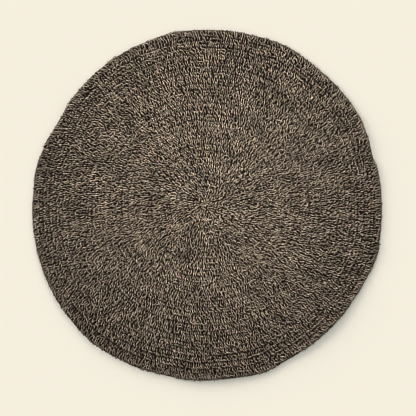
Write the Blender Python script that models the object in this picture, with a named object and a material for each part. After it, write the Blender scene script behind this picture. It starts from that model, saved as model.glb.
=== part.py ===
"""Round raffia rug, worked by hand in rounds from the middle out and lying flat.

One closed solid: a flat underside, a low ring raised in the top for each round of
stitches, a rounded rim, and the uneven outline that hand work gives. Metres, +Z up.
"""
import math
from collections import namedtuple

import bmesh
import bpy

# Driving sizes of the rug
DIAMETER = 1.500
ROUNDS = 29
CREST_HEIGHT = 0.0120
GROOVE_HEIGHT = 0.0094
CENTRE_DIP = 0.0016

# The rim rolls over from the last round's crest to the underside
RIM_BULGE_HEIGHT = 0.0066
RIM_FOOT_HEIGHT = 0.0022
RIM_SHOULDER_HEIGHT = 0.0107
RIM_SHOULDER_INSET = 0.0038
RIM_FOOT_INSET = 0.0014
UNDERSIDE_INSET = 0.0050

# The rounds were begun a little to one side of the finished middle
START_SHIFT_X = -0.006
START_SHIFT_Y = 0.004

# A handmade surface: the crests rise and fall a little from round to round
CREST_SWELL = 0.0005
SWELL_TURNS_PER_ROUND = 0.31
SWELL_LOBES = 3

# Points round each ring: more of them where the rings are wider
INNER_POINTS = 24
INNER_ROUNDS = 5
MIDDLE_ROUNDS = 15
OUTER_ROUNDS = 26

# Each row is the top of a bulge or the bottom of a hollow in the edge: the angle in
# degrees from +X, and how far the edge stands out there from the mean circle.
Bulge = namedtuple("Bulge", ("angle", "stands_out"))
OUTLINE = (
    Bulge(0, -0.0025),
    Bulge(13, -0.0040),
    Bulge(16, -0.0120),
    Bulge(24, -0.0010),
    Bulge(30, 0.0065),
    Bulge(52, 0.0045),
    Bulge(55, 0.0060),
    Bulge(63, 0.0135),
    Bulge(77, 0.0055),
    Bulge(91, 0.0030),
    Bulge(102, 0.0070),
    Bulge(108, -0.0005),
    Bulge(120, -0.0040),
    Bulge(123, -0.0010),
    Bulge(126, -0.0065),
    Bulge(140, -0.0110),
    Bulge(150, -0.0200),
    Bulge(153, -0.0180),
    Bulge(159, -0.0080),
    Bulge(168, -0.0010),
    Bulge(176, -0.0045),
    Bulge(181, -0.0010),
    Bulge(221, 0.0115),
    Bulge(229, 0.0160),
    Bulge(243, 0.0060),
    Bulge(257, -0.0030),
    Bulge(264, 0.0005),
    Bulge(277, -0.0060),
    Bulge(289, 0.0045),
    Bulge(298, -0.0075),
    Bulge(316, -0.0065),
    Bulge(323, -0.0045),
    Bulge(327, -0.0075),
    Bulge(332, -0.0025),
    Bulge(345, 0.0095),
    Bulge(349, 0.0020),
)

# Where the rim lifts clear of the floor: middle of the lift and half its width in
# degrees, and how high the rim stands there. The lift dies out this far inside the rim.
Lift = namedtuple("Lift", ("angle", "half_width", "height"))
RIM_LIFTS = (
    Lift(24, 20, 0.0030),
    Lift(150, 26, 0.0040),
    Lift(276, 18, 0.0035),
    Lift(318, 24, 0.0060),
)
LIFT_REACH = 0.110

# Finish: dark and natural strands twisted together, seen as one brown from a step away
RAFFIA_COLOUR = (0.132, 0.104, 0.076, 1.0)
RAFFIA_ROUGHNESS = 0.82
SHARP_FROM_DEGREES = 50

RADIUS = DIAMETER / 2
ROUND_WIDTH = RADIUS / ROUNDS


def remove_everything():
    """Clear the scene of the objects it opens with."""
    for item in list(bpy.data.objects):
        bpy.data.objects.remove(item, do_unlink=True)


def smooth_step(share):
    """Ease from 0 to 1 with a level start and end."""
    return share * share * (3 - 2 * share)


def edge_offset(angle):
    """Return how far the outline stands out from the mean circle at an angle in degrees."""
    first = OUTLINE[0]
    rows = OUTLINE + (Bulge(first.angle + 360, first.stands_out),)
    for row, after in zip(rows, rows[1:]):
        if row.angle <= angle <= after.angle:
            share = smooth_step((angle - row.angle) / (after.angle - row.angle))
            return row.stands_out + (after.stands_out - row.stands_out) * share
    return first.stands_out


def rim_lift(angle, radius):
    """Return how far the rug rises off the floor at this angle and distance from the middle."""
    inward = (RADIUS - radius) / LIFT_REACH
    if inward >= 1:
        return 0.0
    height = 0.0
    for lift in RIM_LIFTS:
        apart = abs((angle - lift.angle + 180) % 360 - 180)
        if apart < lift.half_width:
            height += lift.height * smooth_step(1 - apart / lift.half_width)
    return height * smooth_step(1 - max(inward, 0.0))


def crest_height(round_number, angle):
    """Return the height of a round's crest, which swells a little by hand."""
    phase = 2 * math.pi * SWELL_TURNS_PER_ROUND * round_number
    return CREST_HEIGHT + CREST_SWELL * math.sin(SWELL_LOBES * math.radians(angle) + phase)


def angle_of(vert):
    """Return a point's angle round the middle, 0 to 360 degrees."""
    return math.degrees(math.atan2(vert.co.y, vert.co.x)) % 360


def set_ring(verts, radius, height_at):
    """Put a ring's points on one circle, each at the height its angle asks for."""
    for vert in verts:
        angle = angle_of(vert)
        vert.co.x = radius * math.cos(math.radians(angle))
        vert.co.y = radius * math.sin(math.radians(angle))
        vert.co.z = height_at(angle)


def ring_verts(edges):
    """Return the points of a ring of edges."""
    return list({vert for edge in edges for vert in edge.verts})


def next_ring(bm, edges, radius, height_at):
    """Extrude a ring of edges to the next circle and return the new ring."""
    grown = bmesh.ops.extrude_edge_only(bm, edges=edges)["geom"]
    verts = {item for item in grown if isinstance(item, bmesh.types.BMVert)}
    set_ring(verts, radius, height_at)
    return [
        item
        for item in grown
        if isinstance(item, bmesh.types.BMEdge) and set(item.verts) <= verts
    ]


def double_points(bm, edges, radius, height_at):
    """Halve each edge of a ring, so that the rings outside it are twice as fine."""
    made = bmesh.ops.bisect_edges(bm, edges=edges, cuts=1)["geom_split"]
    halves = [item for item in made if isinstance(item, bmesh.types.BMEdge)]
    set_ring(ring_verts(halves), radius, height_at)
    return halves


def groove_height(angle):
    """Return the height of the groove between two rounds, the same at every angle."""
    return GROOVE_HEIGHT


def add_top(bm):
    """Build the rings of the top from the middle out and return the last crest's edges."""
    first_radius = ROUND_WIDTH / 2
    bmesh.ops.create_circle(
        bm, cap_ends=True, cap_tris=True, segments=INNER_POINTS, radius=first_radius
    )
    middle = min(bm.verts, key=lambda vert: vert.co.length)
    middle.co.z = CREST_HEIGHT - CENTRE_DIP
    edges = [edge for edge in bm.edges if middle not in edge.verts]
    set_ring(ring_verts(edges), first_radius, lambda angle: crest_height(0, angle))
    for number in range(1, ROUNDS):
        edges = next_ring(bm, edges, number * ROUND_WIDTH, groove_height)
        if number in (INNER_ROUNDS, MIDDLE_ROUNDS, OUTER_ROUNDS):
            edges = double_points(bm, edges, number * ROUND_WIDTH, groove_height)
        radius = (number + 0.5) * ROUND_WIDTH
        edges = next_ring(bm, edges, radius, lambda angle: crest_height(number, angle))
    return edges


def add_rim_and_underside(bm, edges):
    """Roll the rim over from the last crest and close the flat underside."""
    rim_rings = (
        (RIM_SHOULDER_INSET, RIM_SHOULDER_HEIGHT),
        (0.0, RIM_BULGE_HEIGHT),
        (RIM_FOOT_INSET, RIM_FOOT_HEIGHT),
        (UNDERSIDE_INSET, 0.0),
        (LIFT_REACH, 0.0),
    )
    for inset, height in rim_rings:
        edges = next_ring(bm, edges, RADIUS - inset, lambda angle: height)
    bmesh.ops.holes_fill(bm, edges=edges, sides=0)


def shape_by_hand(bm):
    """Give the even rings the hand-worked outline, off-centre start and lifted rim."""
    for vert in bm.verts:
        angle = angle_of(vert)
        radius = math.hypot(vert.co.x, vert.co.y)
        share = min(radius / RADIUS, 1.0) ** 2
        wider = 1 + edge_offset(angle) * share / RADIUS
        vert.co.z += rim_lift(angle, radius)
        vert.co.x = vert.co.x * wider + START_SHIFT_X * (1 - share)
        vert.co.y = vert.co.y * wider + START_SHIFT_Y * (1 - share)


def centre_on_origin(bm):
    """Move the rug so that the middle of its footprint is on the origin."""
    xs = [vert.co.x for vert in bm.verts]
    ys = [vert.co.y for vert in bm.verts]
    middle = (-(min(xs) + max(xs)) / 2, -(min(ys) + max(ys)) / 2, 0.0)
    bmesh.ops.translate(bm, verts=bm.verts, vec=middle)


def raffia_material():
    """Twisted raffia in dark and natural strands."""
    material = bpy.data.materials.new("raffia")
    material.use_nodes = True
    shader = material.node_tree.nodes["Principled BSDF"]
    shader.inputs["Base Color"].default_value = RAFFIA_COLOUR
    shader.inputs["Roughness"].default_value = RAFFIA_ROUGHNESS
    shader.inputs["Metallic"].default_value = 0.0
    return material


def build_rug():
    """Make the rug as one closed, flat-lying solid."""
    bm = bmesh.new()
    last_crest = add_top(bm)
    add_rim_and_underside(bm, last_crest)
    shape_by_hand(bm)
    centre_on_origin(bm)
    bmesh.ops.recalc_face_normals(bm, faces=bm.faces)
    mesh = bpy.data.meshes.new("rug")
    bm.to_mesh(mesh)
    bm.free()
    mesh.shade_smooth()
    mesh.set_sharp_from_angle(angle=math.radians(SHARP_FROM_DEGREES))
    mesh.materials.append(raffia_material())
    rug = bpy.data.objects.new("rug", mesh)
    bpy.context.scene.collection.objects.link(rug)
    return rug


remove_everything()
build_rug()
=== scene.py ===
"""Round raffia rug seen from straight above: a worked ground under rings of cord stitches."""
import math
from collections import namedtuple

import bmesh
import bpy
import numpy as np
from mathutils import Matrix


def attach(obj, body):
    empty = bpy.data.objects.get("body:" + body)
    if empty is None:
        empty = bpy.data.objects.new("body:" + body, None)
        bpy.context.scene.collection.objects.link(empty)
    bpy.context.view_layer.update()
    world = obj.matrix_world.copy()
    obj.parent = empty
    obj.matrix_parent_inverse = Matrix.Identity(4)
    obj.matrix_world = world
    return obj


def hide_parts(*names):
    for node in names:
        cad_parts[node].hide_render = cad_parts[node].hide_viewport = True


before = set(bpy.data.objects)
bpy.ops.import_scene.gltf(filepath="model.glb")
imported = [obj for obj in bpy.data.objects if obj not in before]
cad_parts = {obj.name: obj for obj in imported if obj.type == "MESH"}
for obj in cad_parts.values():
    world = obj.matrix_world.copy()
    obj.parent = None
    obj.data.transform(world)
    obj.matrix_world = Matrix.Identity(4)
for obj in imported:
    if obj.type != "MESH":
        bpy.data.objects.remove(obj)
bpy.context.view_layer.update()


# The camera looks straight down from a tripod arm, with a long lens and a slightly soft
# film. The rug lies a little up and to the left of the picture's middle.
PICTURE_PIXELS = 416
RUG_PIXELS = 351
RUG_DIAMETER = 1.500
PIXEL_SIZE = RUG_DIAMETER / RUG_PIXELS
LENS = 85.0
SENSOR = 36.0
FILM_SOFTNESS = 0.9
TOP_OF_RUG = 0.010
RUG_LEFT_OF_MIDDLE = 1.03
RUG_ABOVE_MIDDLE = 2.71

picture_width = PICTURE_PIXELS * PIXEL_SIZE
camera_height = TOP_OF_RUG + picture_width * LENS / SENSOR
camera_place = (RUG_LEFT_OF_MIDDLE * PIXEL_SIZE, -RUG_ABOVE_MIDDLE * PIXEL_SIZE, camera_height)
bpy.ops.object.camera_add(location=camera_place, rotation=(0.0, 0.0, 0.0))
camera = bpy.context.object
camera.name = "camera_above"
camera.data.lens = LENS
camera.data.sensor_width = SENSOR
bpy.context.scene.camera = camera
bpy.context.scene.cycles.filter_width = FILM_SOFTNESS
bpy.context.scene.view_settings.view_transform = "Standard"


# The floor is a wide sheet of pale cream paper, matt all over. It lies a hair below the
# rug's underside.
FLOOR_HALF_WIDTH = 14.0
FLOOR_DROP = 0.0004
FLOOR_COLOUR = (0.800, 0.745, 0.630, 1.0)
FLOOR_ROUGHNESS = 0.95

bpy.ops.mesh.primitive_plane_add(size=2 * FLOOR_HALF_WIDTH, location=(0.0, 0.0, -FLOOR_DROP))
floor = bpy.context.object
floor.name = "floor"
floor_paper = bpy.data.materials.new("floor_paper")
floor_paper.use_nodes = True
paper_shader = floor_paper.node_tree.nodes["Principled BSDF"]
paper_shader.inputs["Base Color"].default_value = FLOOR_COLOUR
paper_shader.inputs["Roughness"].default_value = FLOOR_ROUGHNESS
paper_shader.inputs["Specular IOR Level"].default_value = 0.0
floor.data.materials.append(floor_paper)


# The light: a low key from the upper left, made broad by two lamps side by side, which
# rakes over the stitches and leaves a soft shadow at the lower right, and an even pale
# fill from all round.
KEY_STRENGTH = 6.19
KEY_SOFTNESS = 25.0
KEY_ELEVATION = 13.0
KEY_FROM_ANGLE = 121.0
KEY_SPREAD = 32.0
KEY_COLOUR = (1.0, 0.951, 0.918)
LAMP_X = -2.0
LAMP_Y = 2.0
LAMP_HEIGHT = 2.5
FILL_COLOUR = (0.928, 0.970, 1.0, 1.0)
FILL_STRENGTH = 0.763

for lamp, from_angle in enumerate((KEY_FROM_ANGLE - KEY_SPREAD, KEY_FROM_ANGLE + KEY_SPREAD)):
    bpy.ops.object.light_add(type="SUN", location=(LAMP_X, LAMP_Y, LAMP_HEIGHT + lamp))
    key = bpy.context.object
    key.name = f"key_light_{lamp + 1}"
    key.data.energy = KEY_STRENGTH / 2
    key.data.color = KEY_COLOUR
    key.data.angle = math.radians(KEY_SOFTNESS)
    key_turn = math.radians(from_angle + 90)
    key.rotation_euler = (math.radians(90 - KEY_ELEVATION), 0.0, key_turn)

world = bpy.data.worlds.new("studio")
bpy.context.scene.world = world
world.use_nodes = True
fill = world.node_tree.nodes["Background"]
fill.inputs["Color"].default_value = FILL_COLOUR
fill.inputs["Strength"].default_value = FILL_STRENGTH


# The ground of the rug: what shows between the stitches, the cord that runs along each
# round under them, worked as one piece. It is laid flat, and follows the frame's
# uneven outline and the places where the rim lifts off the floor.
RADIUS = RUG_DIAMETER / 2
ROUNDS = 29
ROUND_WIDTH = RADIUS / ROUNDS
LIFT_REACH = 0.110

# The rounds begin a little off the middle, and the last few are a little wider.
START_X = -0.006
START_Y = 0.004
WIDER_AFTER = 24.5
WIDER_BY = 0.0025

GROUND_POINTS = 96
GROUND_RIM_INSET = 0.0004
GROUND_CREST = 0.0064
GROUND_GROOVE = 0.0042
UNDERSIDE_CREST = 0.0
UNDERSIDE_GROOVE = 0.0008

# From the last crest the ground rolls over to its underside. Each row is how far in from
# the ground's edge and how high one ring of this roll lies.
GROUND_RIM = (
    (0.010, GROUND_CREST),
    (0.003, GROUND_CREST),
    (0.0, 0.0050),
    (0.001, 0.0018),
    (0.005, UNDERSIDE_CREST),
)

# The frame's edge is found in each of these directions, by looking inwards at four
# heights, and then upwards a little inside the edge.
EDGE_DIRECTIONS = np.arange(0.0, 360.0, 1.0)
LOOK_FROM = 1.2 * RADIUS
LOOK_HEIGHTS = (0.004, 0.007, 0.010, 0.013)
FOOT_INSET = 0.012
BELOW_FLOOR = -0.05

rug_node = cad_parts["rug"]


def frame_edge(angle):
    """Find the frame's edge in one direction: its radius and how high its foot stands."""
    out = (math.cos(math.radians(angle)), math.sin(math.radians(angle)), 0.0)
    furthest = 0.0
    for height in LOOK_HEIGHTS:
        start = (LOOK_FROM * out[0], LOOK_FROM * out[1], height)
        hit, place, _, _ = rug_node.ray_cast(start, (-out[0], -out[1], 0.0))
        if hit:
            furthest = max(furthest, math.hypot(place.x, place.y))
    foot = furthest - FOOT_INSET
    start = (foot * out[0], foot * out[1], BELOW_FLOOR)
    hit, place, _, _ = rug_node.ray_cast(start, (0.0, 0.0, 1.0))
    return furthest, place.z if hit else 0.0


edges = np.array([frame_edge(angle) for angle in EDGE_DIRECTIONS])
edge_radius = edges[:, 0]
edge_lift = edges[:, 1]


def worked_by_hand(x, y):
    """Carry points of an even round rug to where the hand-worked one has them.

    Returns the new x and y, and how far the rug has risen off the floor there.
    """
    angle = np.degrees(np.arctan2(y, x)) % 360
    radius = np.hypot(x, y)
    share = np.minimum(radius / RADIUS, 1.0) ** 2
    edge_there = np.interp(angle, EDGE_DIRECTIONS, edge_radius, period=360)
    wider = 1 + (edge_there / RADIUS - 1) * share
    inward = np.clip((RADIUS - radius) / LIFT_REACH, 0.0, 1.0)
    fading = 1 - inward * inward * (3 - 2 * inward)
    lift = np.interp(angle, EDGE_DIRECTIONS, edge_lift, period=360) * fading
    new_x = x * wider + START_X * (1 - share)
    new_y = y * wider + START_Y * (1 - share)
    return new_x, new_y, lift


def round_radius(rounds):
    """Radius reached after so many rounds: the last few are a little wider than the rest."""
    return rounds * ROUND_WIDTH + WIDER_BY * max(0.0, rounds - WIDER_AFTER)


def points_of(mesh):
    """Return a mesh's points as an array of rows x, y, z."""
    flat = np.zeros(len(mesh.vertices) * 3)
    mesh.vertices.foreach_get("co", flat)
    return flat.reshape(-1, 3)


def grow_ring(radius_from, radius_to, rise):
    """Extrude the selected ring of edges and set it to its next width and height."""
    bpy.ops.mesh.extrude_edges_move(TRANSFORM_OT_translate={"value": (0.0, 0.0, rise)})
    grow = radius_to / radius_from
    bpy.ops.transform.resize(value=(grow, grow, 1.0), center_override=(0.0, 0.0, 0.0))


# The rings' radius and height, outwards over the top and back in along the underside.
rings = []
for number in range(1, ROUNDS):
    rings.append((round_radius(number), GROUND_GROOVE))
    if number < ROUNDS - 1:
        rings.append((round_radius(number + 0.5), GROUND_CREST))
ground_edge = RADIUS - GROUND_RIM_INSET
for inset, height in GROUND_RIM:
    rings.append((ground_edge - inset, height))
for number in range(ROUNDS - 1, 0, -1):
    rings.append((number * ROUND_WIDTH, UNDERSIDE_GROOVE))
    if number > 1:
        rings.append(((number - 0.5) * ROUND_WIDTH, UNDERSIDE_CREST))

bpy.ops.object.select_all(action="DESELECT")
bpy.ops.mesh.primitive_circle_add(
    vertices=GROUND_POINTS, radius=ROUND_WIDTH / 2, fill_type="TRIFAN", location=(0, 0, GROUND_CREST)
)
ground = bpy.context.object
ground.name = "ground"
bpy.ops.object.transform_apply(location=True, rotation=True, scale=True)
bpy.ops.object.mode_set(mode="EDIT")
bpy.ops.mesh.select_mode(type="EDGE")
bpy.ops.mesh.select_all(action="DESELECT")
bpy.ops.mesh.select_non_manifold()

radius_now = ROUND_WIDTH / 2
height_now = GROUND_CREST
for radius_next, height_next in rings:
    grow_ring(radius_now, radius_next, height_next - height_now)
    radius_now = radius_next
    height_now = height_next
bpy.ops.mesh.merge(type="CENTER")
bpy.ops.mesh.select_all(action="SELECT")
bpy.ops.mesh.normals_make_consistent(inside=False)
bpy.ops.object.mode_set(mode="OBJECT")

even = points_of(ground.data)
hand_x, hand_y, hand_lift = worked_by_hand(even[:, 0], even[:, 1])
hand_points = np.column_stack((hand_x, hand_y, even[:, 2] + hand_lift))
ground.data.vertices.foreach_set("co", hand_points.ravel())
ground.data.update()
bpy.ops.object.shade_smooth()


def fibre_effect():
    """Node group: raffia fibres along a strand, from the strand's own colour and map.

    Puts out the streaked colour, the roughness and the height of the fibres.
    """
    group = bpy.data.node_groups.new("raffia_fibres", "ShaderNodeTree")
    face = group.interface
    face.new_socket("Strand colour", in_out="INPUT", socket_type="NodeSocketColor")
    face.new_socket("Along strand", in_out="INPUT", socket_type="NodeSocketVector")
    face.new_socket("Fibres per metre", in_out="INPUT", socket_type="NodeSocketFloat")
    face.new_socket("Streak", in_out="INPUT", socket_type="NodeSocketFloat")
    face.new_socket("Colour", in_out="OUTPUT", socket_type="NodeSocketColor")
    face.new_socket("Roughness", in_out="OUTPUT", socket_type="NodeSocketFloat")
    face.new_socket("Height", in_out="OUTPUT", socket_type="NodeSocketFloat")
    nodes = group.nodes
    links = group.links
    inward = nodes.new("NodeGroupInput")
    outward = nodes.new("NodeGroupOutput")

    # Fibres are some thirty times longer than wide.
    stretch = nodes.new("ShaderNodeVectorMath")
    stretch.operation = "MULTIPLY"
    stretch.inputs[1].default_value = (0.03, 1.0, 1.0)
    links.new(inward.outputs["Along strand"], stretch.inputs[0])
    fibres = nodes.new("ShaderNodeTexNoise")
    fibres.inputs["Detail"].default_value = 3.0
    fibres.inputs["Roughness"].default_value = 0.6
    links.new(stretch.outputs[0], fibres.inputs["Vector"])
    links.new(inward.outputs["Fibres per metre"], fibres.inputs["Scale"])

    # Raffia varies slowly in tone along its length.
    tone = nodes.new("ShaderNodeTexNoise")
    tone.inputs["Scale"].default_value = 150.0
    tone.inputs["Detail"].default_value = 2.0
    links.new(inward.outputs["Along strand"], tone.inputs["Vector"])

    # The fibres' streaks and the slow tone both lighten and darken the strand's colour.
    streaks = nodes.new("ShaderNodeMapRange")
    streaks.inputs["From Min"].default_value = 0.3
    streaks.inputs["From Max"].default_value = 0.7
    streaks.inputs["To Min"].default_value = -1.0
    streaks.inputs["To Max"].default_value = 1.0
    links.new(fibres.outputs["Fac"], streaks.inputs["Value"])
    strength = nodes.new("ShaderNodeMath")
    strength.operation = "MULTIPLY_ADD"
    strength.inputs[2].default_value = 0.5
    links.new(streaks.outputs[0], strength.inputs[0])
    links.new(inward.outputs["Streak"], strength.inputs[1])
    slow = nodes.new("ShaderNodeMapRange")
    slow.inputs["From Min"].default_value = 0.36
    slow.inputs["From Max"].default_value = 0.64
    slow.inputs["To Min"].default_value = 0.9
    slow.inputs["To Max"].default_value = 3.1
    links.new(tone.outputs["Fac"], slow.inputs["Value"])
    shade = nodes.new("ShaderNodeMath")
    shade.operation = "MULTIPLY"
    links.new(strength.outputs[0], shade.inputs[0])
    links.new(slow.outputs[0], shade.inputs[1])
    tinted = nodes.new("ShaderNodeVectorMath")
    tinted.operation = "SCALE"
    links.new(inward.outputs["Strand colour"], tinted.inputs[0])
    links.new(shade.outputs[0], tinted.inputs["Scale"])
    links.new(tinted.outputs[0], outward.inputs["Colour"])

    # A fibre that stands up is worn a little smoother than the hollow beside it.
    rough = nodes.new("ShaderNodeMapRange")
    rough.inputs["To Min"].default_value = 0.86
    rough.inputs["To Max"].default_value = 0.62
    links.new(fibres.outputs["Fac"], rough.inputs["Value"])
    links.new(rough.outputs[0], outward.inputs["Roughness"])
    links.new(fibres.outputs["Fac"], outward.inputs["Height"])
    return group


fibres_group = fibre_effect()


def raffia(name, fibres_per_metre, streak, bump):
    """Material of raffia cord, coloured by the piece's own strand_colour."""
    material = bpy.data.materials.new(name)
    material.use_nodes = True
    nodes = material.node_tree.nodes
    links = material.node_tree.links
    shader = nodes["Principled BSDF"]
    effect = nodes.new("ShaderNodeGroup")
    effect.node_tree = fibres_group
    along = nodes.new("ShaderNodeUVMap")
    along.uv_map = "along_cord"
    links.new(along.outputs["UV"], effect.inputs["Along strand"])
    strand = nodes.new("ShaderNodeAttribute")
    strand.attribute_name = "strand_colour"
    links.new(strand.outputs["Color"], effect.inputs["Strand colour"])
    effect.inputs["Fibres per metre"].default_value = fibres_per_metre
    effect.inputs["Streak"].default_value = streak
    bumps = nodes.new("ShaderNodeBump")
    bumps.inputs["Distance"].default_value = bump
    links.new(effect.outputs["Height"], bumps.inputs["Height"])
    links.new(effect.outputs["Colour"], shader.inputs["Base Color"])
    links.new(effect.outputs["Roughness"], shader.inputs["Roughness"])
    links.new(bumps.outputs["Normal"], shader.inputs["Normal"])
    shader.inputs["Specular IOR Level"].default_value = 0.08
    return material


def corner_places(mesh):
    """Return the points at the corners of a mesh's faces, as rows x, y, z."""
    corners = np.zeros(len(mesh.loops), int)
    mesh.loops.foreach_get("vertex_index", corners)
    return points_of(mesh)[corners]


# The ground's fibres run outwards, as the stitches do. Above, where it lies in the shade of the
# stitches, its colour is painted shade and nearly black; below, their backs show as one mottled
# brown.
GROUND_TOP_PAINTED_SHADE = (0.013, 0.009, 0.006, 1.0)
BACK_COLOUR = (0.100, 0.078, 0.056, 1.0)
FACES_DOWN = -0.5

at_corners = corner_places(ground.data)
round_the_rug = np.arctan2(at_corners[:, 1], at_corners[:, 0]) * RADIUS / 2
outwards = np.hypot(at_corners[:, 0], at_corners[:, 1])
along_map = ground.data.uv_layers.new(name="along_cord")
along_map.data.foreach_set("uv", np.column_stack((outwards, round_the_rug)).ravel())
facing = np.zeros(len(ground.data.polygons) * 3)
ground.data.polygons.foreach_get("normal", facing)
face_sizes = np.zeros(len(ground.data.polygons), int)
ground.data.polygons.foreach_get("loop_total", face_sizes)
looks_down = np.repeat(facing[2::3] < FACES_DOWN, face_sizes)[:, None]
ground_tone = ground.data.color_attributes.new("strand_colour", "FLOAT_COLOR", "CORNER")
# Faces looking up get the painted shade, faces looking down the brown of the cord's backs.
ground_tone.data.foreach_set("color", np.where(looks_down, BACK_COLOUR, GROUND_TOP_PAINTED_SHADE).ravel())
ground.data.materials.append(
    raffia("ground_cord", fibres_per_metre=700.0, streak=0.35, bump=0.0006)
)
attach(ground, "root")
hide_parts("rug")


# The stitches: each is two short legs of two-ply cord, one ply natural raffia and one
# dyed dark. One leg stands on each flank of its round's ridge, the two lean opposite
# ways, and each is drawn down at both ends into the ground that it is worked on.
PLY_RADIUS = 0.00196
PLIES = 2.0
BAR_LENGTH = 0.0160
BAR_STEPS = 3
BAR_SIDES = 8
NEAR = 0.1

# One straight bar is modelled, and every leg is a copy of it. Its section begins as an
# oval two plies wide. The middle is pressed in to a valley, and the shoulders, the
# points this many ply radii from the middle, are made rounder.
VALLEY_HEIGHT = 0.40
SHOULDER_FROM = 0.5
SHOULDER_TO = 1.9
SHOULDER_WIDTH = 0.82
SHOULDER_HEIGHT = 1.32

bpy.ops.object.select_all(action="DESELECT")
bpy.ops.mesh.primitive_circle_add(
    vertices=BAR_SIDES, radius=PLY_RADIUS, fill_type="NOTHING", rotation=(0.0, math.pi / 2, 0.0)
)
bar = bpy.context.object
bar.name = "straight_bar"
bpy.ops.object.transform_apply(location=True, rotation=True, scale=True)


def select_points(wanted):
    """Select the points of the mesh in edit mode for which wanted(point) is true."""
    bpy.ops.mesh.select_mode(type="VERT")
    bpy.ops.mesh.select_all(action="DESELECT")
    shape = bmesh.from_edit_mesh(bpy.context.object.data)
    for point in shape.verts:
        point.select = wanted(point.co)
    shape.select_flush(True)
    bmesh.update_edit_mesh(bpy.context.object.data)


bpy.ops.object.mode_set(mode="EDIT")
bpy.ops.mesh.select_all(action="SELECT")
bpy.ops.transform.resize(value=(1.0, PLIES, 1.0))
select_points(lambda place: abs(place.y) < NEAR * PLY_RADIUS)
bpy.ops.transform.resize(value=(1.0, 1.0, VALLEY_HEIGHT))
select_points(
    lambda place: SHOULDER_FROM * PLY_RADIUS < abs(place.y) < SHOULDER_TO * PLY_RADIUS
)
bpy.ops.transform.resize(value=(1.0, SHOULDER_WIDTH, SHOULDER_HEIGHT))
bpy.ops.mesh.select_all(action="SELECT")
bpy.ops.transform.translate(value=(-BAR_LENGTH / 2, 0.0, 0.0))
bpy.ops.mesh.select_mode(type="EDGE")
for step in range(BAR_STEPS):
    bpy.ops.mesh.extrude_edges_move(
        TRANSFORM_OT_translate={"value": (BAR_LENGTH / BAR_STEPS, 0.0, 0.0)}
    )
for end in (-BAR_LENGTH / 2, BAR_LENGTH / 2):
    select_points(lambda place: abs(place.x - end) < NEAR * BAR_LENGTH / BAR_STEPS)
    bpy.ops.mesh.edge_face_add()
bpy.ops.mesh.select_all(action="SELECT")
bpy.ops.mesh.normals_make_consistent(inside=False)
bpy.ops.object.mode_set(mode="OBJECT")

bar_points = points_of(bar.data)
bar_faces = [list(face.vertices) for face in bar.data.polygons]
bar_sizes = np.array([len(face) for face in bar_faces])
bar_corners = np.concatenate(bar_faces)
bpy.data.objects.remove(bar, do_unlink=True)

# Where each face's corners lie on the bar: share of its length, and turn round it. The
# dark ply lies on one side, and only the bar's two ends have more than four corners.
corner_share = bar_points[bar_corners, 0] / BAR_LENGTH + 0.5
turn_round = np.arctan2(bar_points[:, 2], bar_points[:, 1] / PLIES) / (2 * math.pi)
corner_turn = turn_round[bar_corners]
face_of_corner = np.repeat(np.arange(len(bar_faces)), bar_sizes)
middle_side = np.bincount(face_of_corner, bar_points[bar_corners, 1]) / bar_sizes
middle_up = np.bincount(face_of_corner, bar_points[bar_corners, 2]) / bar_sizes
face_turn = np.arctan2(middle_up, middle_side / PLIES) / (2 * math.pi)
corner_turn = corner_turn + np.round(face_turn[face_of_corner] - corner_turn)
face_is_dark = middle_side < 0
is_end = bar_sizes > 4

# Everything made by hand varies. Each SPREAD is the standard deviation of what it names,
# and each seed starts one slow unevenness over the rug.
rng = np.random.default_rng(29)
WAVES = 24
SHORTEST_WAVE = 0.6
LONGEST_WAVE = 1.8
USUAL_PEAK = 1.4


def slow_field(x, y, wavelength, seed):
    """A smooth, seeded unevenness over the rug, about -1 to 1, in patches this wide."""
    waves = np.random.default_rng(seed)
    total = np.zeros_like(x)
    for _ in range(WAVES):
        heading = waves.uniform(0, 2 * math.pi)
        length = wavelength * waves.uniform(SHORTEST_WAVE, LONGEST_WAVE)
        phase = waves.uniform(0, 2 * math.pi)
        across = x * math.cos(heading) + y * math.sin(heading)
        total += np.cos(2 * math.pi * across / length + phase)
    return total / math.sqrt(WAVES / 2) / USUAL_PEAK


# Tones are shares of the cord's own colour.
TONE_AT_RIM = 0.70
TONE_TO_LOWER_EDGE = 0.16
MIDDLE_LIGHTER = 0.14
MIDDLE_REACH = 0.14
PATCH_TONE = 0.07
PATCH_WIDTH = 0.17
PATCH_SEED = 7
SMALL_PATCH_TONE = 0.11
SMALL_PATCH_WIDTH = 0.042
SMALL_PATCH_SEED = 9


def slow_tone(x, y):
    """How light the cord is over the rug: it darkens outwards and downwards, in patches."""
    outward = (x * x + y * y) / RADIUS**2
    fall = 1 - (1 - TONE_AT_RIM) * outward + TONE_TO_LOWER_EDGE * y / RADIUS
    fall = fall + MIDDLE_LIGHTER * np.maximum(0.0, 1 - np.hypot(x, y) / MIDDLE_REACH)
    large = PATCH_TONE * slow_field(x, y, PATCH_WIDTH, PATCH_SEED)
    small = SMALL_PATCH_TONE * slow_field(x, y, SMALL_PATCH_WIDTH, SMALL_PATCH_SEED)
    return fall * np.exp(large + small)


LEG_TONE_SPREAD = 0.30
LIGHTEST_LEG = 0.24


def leg_tone(count, spread):
    """How light each leg's raffia is: it varies freely, but is never much bleached."""
    return np.exp(np.minimum(rng.normal(0, spread, count), LIGHTEST_LEG))


# Where the legs stand. The pitch is the distance from one leg to the next along a row,
# and the unevenness of it is in shares of a pitch.
BAND_LAST_ROUNDS = (12, 17, 21, 24, 27)
BAR_PITCH = 0.0092
PITCH_SPREAD = 0.07
PITCH_WANDER = 0.32
PITCH_SEED = 11
SPACING_SPREAD = 0.17
LEAST_OFFSET = 0.2
MOST_OFFSET = 0.8
FEWEST_LEGS = 6
LEG_FROM_RIDGE = 0.25
WANDER_PATCH = 0.12
ROUND_WANDER = 0.0024
WANDER_SEED = 5
STRAY = 0.0014

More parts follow.
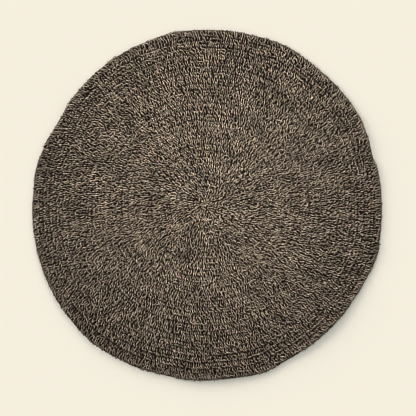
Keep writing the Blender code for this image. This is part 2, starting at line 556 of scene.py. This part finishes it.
# How far they lean, in degrees anticlockwise from straight outwards. The chevron is the
# lean of the two legs of a stitch away from each other. Near the middle of the rug the
# legs are shorter and lean less.
LEAN = -5.0
LEAN_GAINED_AT_RIM = 11.0
LEAN_SPREAD_BY_ROUND = 4.0
LEAN_SPREAD_BY_PATCH = 9.0
LEAN_PATCH = 0.10
LEAN_SEED = 3
LEAN_SPREAD_BY_BAR = 21.0
CHEVRON = 12.0
MIDDLE_ROUNDS = 3
FULL_LEAN_ROUND = 4
FIRST_LEGS_SHORTER = 0.70
MIDDLE_LEGS_SHORTER = 0.88

# Their own shape: the length is a share of a round's width, the twist is in turns, and
# ON_TOP is the part of a turn that brings the natural ply on top at a leg's middle.
LEG_SHARE = 0.52
LEG_SHARE_SPREAD = 0.07
BOW_SPREAD = 0.0006
SWAY = 0.0003
SWAY_SPREAD = 0.0004
TOP_HEIGHT = 0.0076
TOP_SPREAD = 0.0006
FOOT_HEIGHT = 0.0048
THICKNESS_SPREAD = 0.12
TURNS = -0.62
TURNS_SPREAD = 0.15
ON_TOP = 0.25
PHASE_SPREAD = 0.12

# A leg rises towards the ridge. Its colour carries painted light towards the ridge and painted shade
# towards the groove, and painted shade at both its ends, where they dip between their neighbours.
RIDGE_HEIGHT = 0.0004
RIDGE_PAINTED_LIGHT_AND_SHADE = 0.40
END_PAINTED_SHADE = -0.61


def lay_out_legs(number, side, pitch, start):
    """Return a table of one row of legs of a round: a row each, with named columns.

    A round has two rows of legs, the inner one with side -1 and the outer one with side 1.
    """
    middle = round_radius(number + 0.5 + LEG_FROM_RIDGE * side)
    count = max(FEWEST_LEGS, round(2 * math.pi * middle / pitch))
    angle = 2 * math.pi * (np.arange(count) + start) / count
    even_x = middle * np.cos(angle)
    even_y = middle * np.sin(angle)
    wander = PITCH_WANDER * slow_field(even_x, even_y, WANDER_PATCH, PITCH_SEED)
    angle = angle + 2 * math.pi * (wander + rng.normal(0, SPACING_SPREAD, count)) / count
    x = middle * np.cos(angle)
    y = middle * np.sin(angle)
    lean = LEAN + LEAN_GAINED_AT_RIM * middle / RADIUS + rng.normal(0, LEAN_SPREAD_BY_ROUND)
    lean = lean + LEAN_SPREAD_BY_PATCH * slow_field(x, y, LEAN_PATCH, LEAN_SEED) + CHEVRON * side
    # The last round has no groove outside it: the rim's legs lie against it there.
    groove_side = 0.0 if number == BAND_LAST_ROUNDS[-1] and side > 0 else side
    length = np.full(count, LEG_SHARE)
    if number < MIDDLE_ROUNDS:
        lean = lean * (number + 0.5) / FULL_LEAN_ROUND
        is_first = middle < ROUND_WIDTH / 2
        length = length * (FIRST_LEGS_SHORTER if is_first else MIDDLE_LEGS_SHORTER)
    lean = lean + rng.normal(0, LEAN_SPREAD_BY_BAR, count)
    turns = rng.normal(TURNS, TURNS_SPREAD, count)
    carried = ROUND_WANDER * slow_field(x, y, WANDER_PATCH, WANDER_SEED)
    return {
        "angle": angle,
        "radius": middle + carried + rng.normal(0, STRAY, count),
        "lean": np.radians(lean),
        "length": ROUND_WIDTH * rng.normal(length, LEG_SHARE_SPREAD, count),
        "bow": rng.normal(0, BOW_SPREAD, count),
        "sway": rng.normal(SWAY, SWAY_SPREAD, count),
        "top": rng.normal(TOP_HEIGHT, TOP_SPREAD, count),
        "foot": np.full(count, FOOT_HEIGHT),
        "twist_start": ON_TOP - turns / 2 + rng.normal(0, PHASE_SPREAD, count),
        "turns": turns,
        "thickness": rng.normal(1.0, THICKNESS_SPREAD, count),
        "tone": leg_tone(count, LEG_TONE_SPREAD) * slow_tone(x, y),
        # Painted light towards the ridge, painted shade towards the groove and at both ends.
        "tilt": np.full(count, -RIDGE_HEIGHT * groove_side),
        "shade": np.full(count, -RIDGE_PAINTED_LIGHT_AND_SHADE * groove_side),
        "end_painted_shade": np.full(count, END_PAINTED_SHADE),
    }


def lay_out_round(number):
    """Return the tables of the two rows of legs of one round."""
    pitch = BAR_PITCH * rng.normal(1, PITCH_SPREAD)
    start = rng.uniform()
    inner = lay_out_legs(number, -1, pitch, start)
    outer = lay_out_legs(number, 1, pitch, start + rng.uniform(LEAST_OFFSET, MOST_OFFSET))
    return [inner, outer]


# Raffia is a little warmer or a little greener from strand to strand.
NATURAL_COLOUR = np.array((0.470, 0.378, 0.284))
DARK_COLOUR = np.array((0.152, 0.109, 0.072))
DARK_SPREAD = 0.30
WARMER = np.array((0.6, 0.0, -1.2))
WARM_SPREAD = 0.02
GREENER = np.array((-0.5, 0.6, -0.5))
GREEN_SPREAD = 0.04


def bar_colours(bars):
    """Return the natural and the dark ply's colour for each bar."""
    count = len(bars["angle"])
    warm = rng.normal(0, WARM_SPREAD, count)[:, None] * WARMER
    green = rng.normal(0, GREEN_SPREAD, count)[:, None] * GREENER
    natural = NATURAL_COLOUR * bars["tone"][:, None] * (1 + warm + green)
    dark = DARK_COLOUR * (np.exp(rng.normal(0, DARK_SPREAD, count)) * bars["tone"])[:, None]
    return natural, dark


# The arch is flat along the middle of a bar and falls steeply at its feet. A bar's ends
# tip with it, and nothing of it lies lower than this.
ARCH_POWER = 3.0
ARCH_ROUNDNESS = 0.8
TIP_WITH_ARCH = 0.8
SMALL_STEP = 1e-3
LOWEST = 0.0003


def arch_at(out):
    """How high a bar's arch stands, 0 to 1, at a place from -1 at one foot to 1 at the other."""
    return (1 - np.minimum(np.abs(out), 1.0) ** ARCH_POWER) ** ARCH_ROUNDNESS


def place_bars(bars):
    """Bend and twist a straight bar into each place and return all their points."""
    column = {name: values[:, None] for name, values in bars.items()}
    share = bar_points[None, :, 0] / BAR_LENGTH + 0.5
    turned = 2 * math.pi * (column["twist_start"] + column["turns"] * share)
    side = bar_points[None, :, 1] * column["thickness"]
    up = bar_points[None, :, 2] * column["thickness"]
    across = side * np.cos(turned) - up * np.sin(turned)
    over = side * np.sin(turned) + up * np.cos(turned)

    # The bar's middle line: an arch from foot to foot, bowed and swaying sideways.
    out = np.clip(2 * share - 1, -1.0, 1.0)
    stands = column["top"] - column["foot"]
    rise = stands * (arch_at(out + SMALL_STEP) - arch_at(out - SMALL_STEP)) / (2 * SMALL_STEP)
    half = column["length"] / 2
    slope = np.arctan2(rise, half) * TIP_WITH_ARCH
    along = half * out - over * np.sin(slope)
    height = column["foot"] + stands * arch_at(out) + over * np.cos(slope)
    height = np.maximum(height + column["tilt"] * out, LOWEST)
    sideways = column["bow"] * (1 - out * out) + column["sway"] * np.sin(math.pi * out) + across

    outward = along * np.cos(column["lean"]) - sideways * np.sin(column["lean"])
    around = along * np.sin(column["lean"]) + sideways * np.cos(column["lean"])
    from_middle = column["radius"] + outward
    x = from_middle * np.cos(column["angle"]) - around * np.sin(column["angle"])
    y = from_middle * np.sin(column["angle"]) + around * np.cos(column["angle"])
    x, y, lift = worked_by_hand(x, y)
    return np.stack((x, y, height + lift), axis=2).reshape(-1, 3)


cord_material = raffia("twisted_cord", fibres_per_metre=2600.0, streak=0.16, bump=0.0004)

# Each bar starts at a place of its own on the fibres' pattern, within so many metres.
MAP_REACH = 5

# In a painted copy each bar has its own cell of one square: its side unrolled at the
# left, and its two ends as small ovals at the right. All in shares of the cell.
SIDE_LEFT = 0.06
SIDE_WIDTH = 0.76
SIDE_MIDDLE = 0.5
SIDE_HEIGHT = 0.90
ENDS_MIDDLE = 0.91
END_WIDTH = 0.05
END_HEIGHT = 0.12
OUTER_END = 0.7
INNER_END = 0.3


def join_bars(name, bars):
    """Make one mesh of all these bars, with their maps and colours."""
    count = len(bars["angle"])
    points = place_bars(bars)
    shift = np.arange(count)[:, None] * len(bar_points)
    corners = (bar_corners[None, :] + shift).ravel()
    sizes = np.tile(bar_sizes, count)
    mesh = bpy.data.meshes.new(name)
    mesh.vertices.add(len(points))
    mesh.vertices.foreach_set("co", points.ravel())
    mesh.loops.add(len(corners))
    mesh.loops.foreach_set("vertex_index", corners)
    mesh.polygons.add(len(sizes))
    mesh.polygons.foreach_set("loop_start", np.concatenate(((0,), np.cumsum(sizes)[:-1])))
    mesh.update(calc_edges=True)
    mesh.validate()

    natural, dark = bar_colours(bars)
    is_dark = face_is_dark[face_of_corner][None, :, None]
    colours = np.where(is_dark, dark[:, None, :], natural[:, None, :])
    # Painted light and shade along each leg: lighter towards the ridge, darker towards the groove
    # and at both ends.
    from_centre = 2 * corner_share - 1
    shading = bars["shade"][:, None] * from_centre + bars["end_painted_shade"][:, None] * from_centre**4
    colours = colours * np.exp(shading)[:, :, None]
    colours = np.concatenate((colours, np.ones(colours.shape[:2] + (1,))), axis=2)
    strand = mesh.color_attributes.new("strand_colour", "FLOAT_COLOR", "CORNER")
    strand.data.foreach_set("color", colours.ravel())

    # Metres along the bar and metres round it, at a place of its own for each bar.
    around_bar = 2 * PLIES * math.pi * PLY_RADIUS
    start = rng.uniform(0, MAP_REACH, (count, 2))
    along = corner_share[None, :] * BAR_LENGTH + start[:, :1]
    round_it = corner_turn[None, :] * around_bar + start[:, 1:]
    along_cord = mesh.uv_layers.new(name="along_cord")
    along_cord.data.foreach_set("uv", np.stack((along, round_it), axis=2).ravel())

    # The second map, for a painted copy.
    cells = math.ceil(math.sqrt(count))
    turn = 2 * math.pi * corner_turn
    side_u = SIDE_LEFT + SIDE_WIDTH * corner_share
    side_v = SIDE_MIDDLE + SIDE_HEIGHT * corner_turn
    end_u = ENDS_MIDDLE + END_WIDTH * np.cos(turn)
    end_v = np.where(corner_share > 0.5, OUTER_END, INNER_END) + END_HEIGHT * np.sin(turn)
    on_end = is_end[face_of_corner]
    cell_u = (np.arange(count) % cells)[:, None] + np.where(on_end, end_u, side_u)[None, :]
    cell_v = (np.arange(count) // cells)[:, None] + np.where(on_end, end_v, side_v)[None, :]
    painted = mesh.uv_layers.new(name="OFBake")
    painted.data.foreach_set("uv", np.stack((cell_u / cells, cell_v / cells), axis=2).ravel())

    mesh.shade_smooth()
    mesh.materials.append(cord_material)
    piece = bpy.data.objects.new(name, mesh)
    bpy.context.scene.collection.objects.link(piece)
    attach(piece, "root")
    return piece


def stack_rows(tables):
    """Put the tables of several rows of legs one under another."""
    return {name: np.concatenate([table[name] for table in tables]) for name in tables[0]}


first = 0
for last in BAND_LAST_ROUNDS:
    tables = sum([lay_out_round(number) for number in range(first, last + 1)], [])
    join_bars(f"stitches_rounds_{first + 1}_to_{last + 1}", stack_rows(tables))
    first = last + 1


# The last round closes the rug in a firm rim, worked in the same cord: a row of legs longer than the
# rest, and outside it, at the very edge, a lower row of shorter ones, painted darker for the shade
# where the cord turns down over the edge. They are drawn over the ground's edge and lean further
# than the others.
RimRow = namedtuple(
    "RimRow", ("inset", "pitch", "lean", "spread", "length", "top", "tone", "tone_spread")
)
RIM_ROWS = (
    RimRow(
        inset=0.0122,
        pitch=0.0112,
        lean=16.0,
        spread=23.0,
        length=0.0180,
        top=0.0086,
        tone=0.92,
        tone_spread=0.30,
    ),
    RimRow(
        inset=0.0050,
        pitch=0.0104,
        lean=18.0,
        spread=26.0,
        length=0.0125,
        top=0.0074,
        # Painted shade: this edge row's low tone stands for the cord turning down into shadow.
        tone=0.52,
        tone_spread=0.70,
    ),
)
RIM_SPACING_SPREAD = 0.10
RIM_STRAY = 0.0011
RIM_LENGTH_SPREAD = 0.14
RIM_BOW = -0.0006
RIM_BOW_SPREAD = 0.0004
RIM_TOP_SPREAD = 0.0005
RIM_FOOT_HEIGHT = 0.0062
RIM_THICKNESS = 0.98


def lay_out_rim(row):
    """Return a table of the legs in one row of the rim, as lay_out_legs does for a round."""
    middle = RADIUS - row.inset
    count = round(2 * math.pi * middle / row.pitch)
    spacing = np.arange(count) + rng.normal(0, RIM_SPACING_SPREAD, count)
    angle = 2 * math.pi * spacing / count
    x = middle * np.cos(angle)
    y = middle * np.sin(angle)
    turns = rng.normal(TURNS, TURNS_SPREAD, count)
    return {
        "angle": angle,
        "radius": middle + rng.normal(0, RIM_STRAY, count),
        "lean": np.radians(rng.normal(row.lean, row.spread, count)),
        "length": row.length * rng.normal(1.0, RIM_LENGTH_SPREAD, count),
        "bow": rng.normal(RIM_BOW, RIM_BOW_SPREAD, count),
        "sway": rng.normal(0.0, SWAY_SPREAD, count),
        "top": rng.normal(row.top, RIM_TOP_SPREAD, count),
        "foot": np.full(count, RIM_FOOT_HEIGHT),
        "twist_start": ON_TOP - turns / 2 + rng.normal(0, PHASE_SPREAD, count),
        "turns": turns,
        "thickness": rng.normal(RIM_THICKNESS, THICKNESS_SPREAD, count),
        "tone": row.tone * leg_tone(count, row.tone_spread) * slow_tone(x, y),
        "tilt": np.zeros(count),
        "shade": np.zeros(count),
        "end_painted_shade": np.zeros(count),
    }


join_bars("rim_loops", stack_rows([lay_out_rim(row) for row in RIM_ROWS]))
